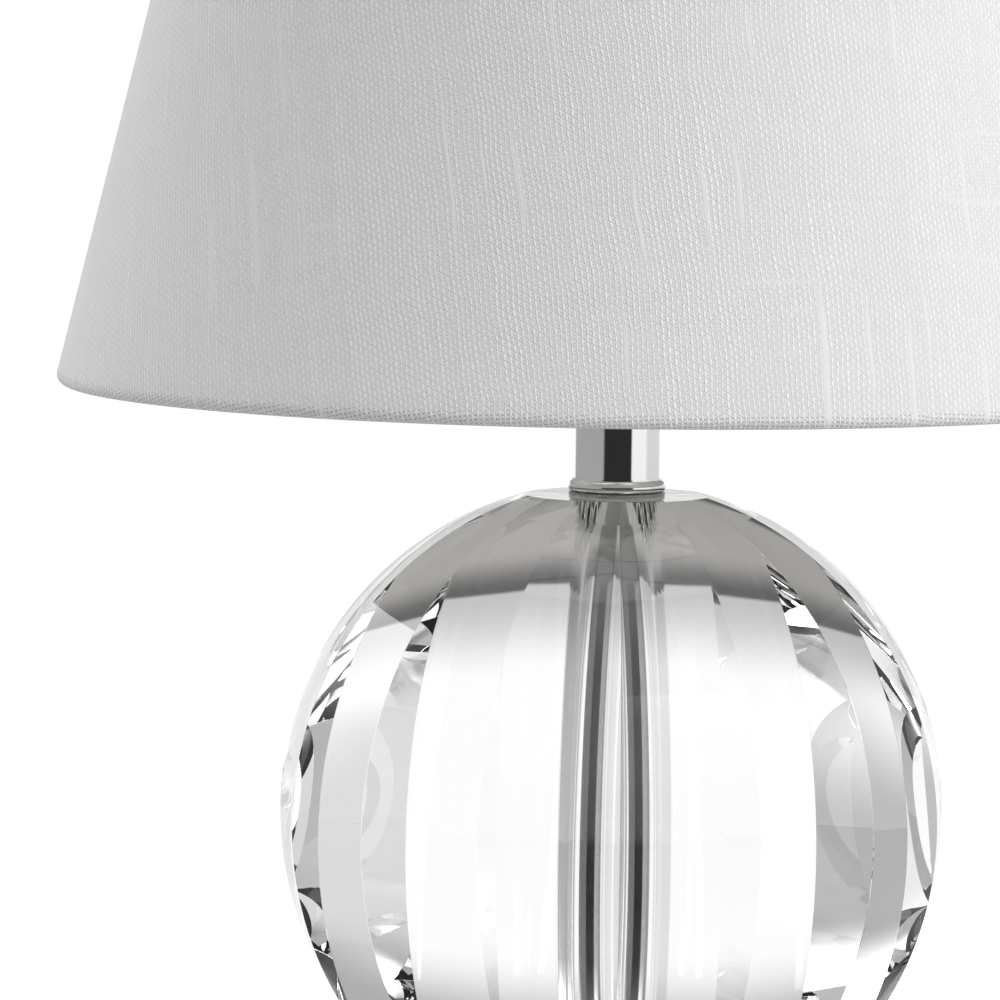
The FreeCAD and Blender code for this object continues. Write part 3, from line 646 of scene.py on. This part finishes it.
def floor():
    """A round pale table, wide enough for every view, which the camera sees evenly pale.

    Reflections and the crystal see painted shade on it. A painted shadow forms a grey pool round the lamp, which
    darkens behind it to a near-black rim. Beyond the pool the room's light is painted on as glow: dark in front, grey
    on the left and white behind.
    """
    around, radius, z = 128, 1.6, -0.2 * MM
    points = [(0, 0, z)]
    for i in range(around):
        turn = 2 * math.pi * i / around
        points.append((radius * math.cos(turn), radius * math.sin(turn), z))
    faces = [(0, i + 1, (i + 1) % around + 1) for i in range(around)]
    mesh = bpy.data.meshes.new("floor")
    mesh.from_pydata(points, [], faces)
    made = bpy.data.objects.new("floor", mesh)
    bpy.context.scene.collection.objects.link(made)

    def build(n):
        parts = n.add("ShaderNodeSeparateXYZ", Vector=n.place())
        x, y = parts.outputs[0], parts.outputs[1]
        away = n.math("SQRT", n.math("ADD", n.math("POWER", x, 2.0), n.math("POWER", y, 2.0)))
        # Painted shadow: a grey pool round the lamp, darkening behind it to a near-black painted rim of shade.
        behind = n.smooth(y, -0.06, 0.06)
        painted_shade_rim = n.math("MULTIPLY", n.smooth(away, 0.215, 0.265), behind)
        near = n.blend(painted_shade_rim, (0.34, 0.33, 0.32), grey(0.06))
        edge, fade = n.smooth(away, 0.268, 0.274, 0.0, 0.5), n.smooth(away, 0.27, 0.40, 0.0, 0.5)
        open_floor = n.math("ADD", edge, fade)
        # Painted room light and shade on the open floor, set by bearing; the floor glows with it.
        level = bearing_level(n, bearing(n, parts), 0.10)
        half = n.math("MULTIPLY", level, 0.5)
        far = n.add("ShaderNodeCombineColor", Red=half, Green=half, Blue=half).outputs[0]
        path = n.add("ShaderNodeLightPath")
        seen, scattered = path.outputs["Is Camera Ray"], path.outputs["Is Diffuse Ray"]
        tone = n.blend(scattered, n.blend(open_floor, near, far), grey(0.45))
        painted_room_glow = n.math("MULTIPLY", open_floor, n.math("MULTIPLY", level, 0.4))
        return {
            "Base Color": n.blend(seen, tone, grey(0.80)),
            "Roughness": 0.8,
            "Emission Color": (1, 1, 1, 1),
            "Emission Strength": n.mixed(seen, painted_room_glow, 0.25),
        }

    mesh.materials.append(material("pale_floor", build))


def lobe(n, degrees, centre, spread, strength):
    """A soft upright light round a bearing."""
    near = n.math("COSINE", n.math("MULTIPLY", n.math("SUBTRACT", degrees, centre), math.pi / 180))
    return n.smooth(near, math.cos(math.radians(spread)), math.cos(math.radians(spread / 3)), 0.0, strength)


def studio_light():
    """White all round, grey on the left, and dark in a narrow gap behind the camera."""
    world = bpy.data.worlds.new("studio")
    bpy.context.scene.world = world
    world.use_nodes = True
    n = Nodes(world.node_tree)
    way = n.add("ShaderNodeTexCoord").outputs["Generated"]
    parts = n.add("ShaderNodeSeparateXYZ", Vector=way)
    z = parts.outputs[2]
    degrees = bearing(n, parts)
    level = bearing_level(n, degrees, 0.03)
    upper = n.math("ADD", n.math("ADD", lobe(n, degrees, 56, 28, 4.5), lobe(n, degrees, -122, 28, 3.0)), 0.45)
    level = n.mixed(n.smooth(z, 0.16, 0.4), level, upper)
    level = n.mixed(n.smooth(z, 0.75, 0.95), level, 1.1)
    seen = n.add("ShaderNodeLightPath").outputs["Is Camera Ray"]
    level = n.mixed(seen, level, 1.05)
    shader = n.add("ShaderNodeBackground", Color=(1, 1, 1, 1), Strength=level)
    output = n.add("ShaderNodeOutputWorld")
    n.tree.links.new(shader.outputs[0], output.inputs["Surface"])


def main_camera():
    """A long lens, a little above the ball's top and level with the shade's rim."""
    across, distance = 294.8 * MM, 2.2  # the width seen at the lamp's axis, and the camera's distance
    elevation, roll = math.radians(4.85), math.radians(0.75)
    data = bpy.data.cameras.new("camera")
    data.lens = data.sensor_width * distance / across
    camera = bpy.data.objects.new("camera", data)
    bpy.context.scene.collection.objects.link(camera)
    aim = Vector((-34.4 * MM, 0, BALL_Z + 93.0 * MM))
    back = Vector((0, -math.cos(elevation), math.sin(elevation)))
    camera.location = aim + back * distance
    camera.rotation_mode = "QUATERNION"
    camera.rotation_quaternion = Quaternion(back, roll) @ (-back).to_track_quat("-Z", "Y")
    bpy.context.scene.camera = camera


def quality():
    """Room for light to pass through the crystal, and plain tones."""
    scene = bpy.context.scene
    scene.cycles.max_bounces = 24
    scene.cycles.transmission_bounces = 24
    scene.cycles.glossy_bounces = 10
    scene.cycles.diffuse_bounces = 5
    scene.cycles.use_denoising = True
    scene.view_settings.view_transform = "Standard"


dress_cad_nodes()
cut_crystal(
    "cut_crystal", BALL_R, BALL_Z - BALL_LOW, BALL_SIDES, BALL_Z, BALL_TURN, "stem", ["crystal_ball"], bore=BORE_R
)
FINIAL_R, FINIAL_LOW, FINIAL_HIGH = reach("finial_ball")
cut_crystal(
    "finial_crystal", FINIAL_R, (FINIAL_HIGH - FINIAL_LOW) / 2, 8, (FINIAL_LOW + FINIAL_HIGH) / 2,
    math.pi / 2, "finial", ["finial_ball"], steps=24, bevel=0.08 * MM,
)
linen_skin()
bulb_thread()
floor()
studio_light()
main_camera()
quality()
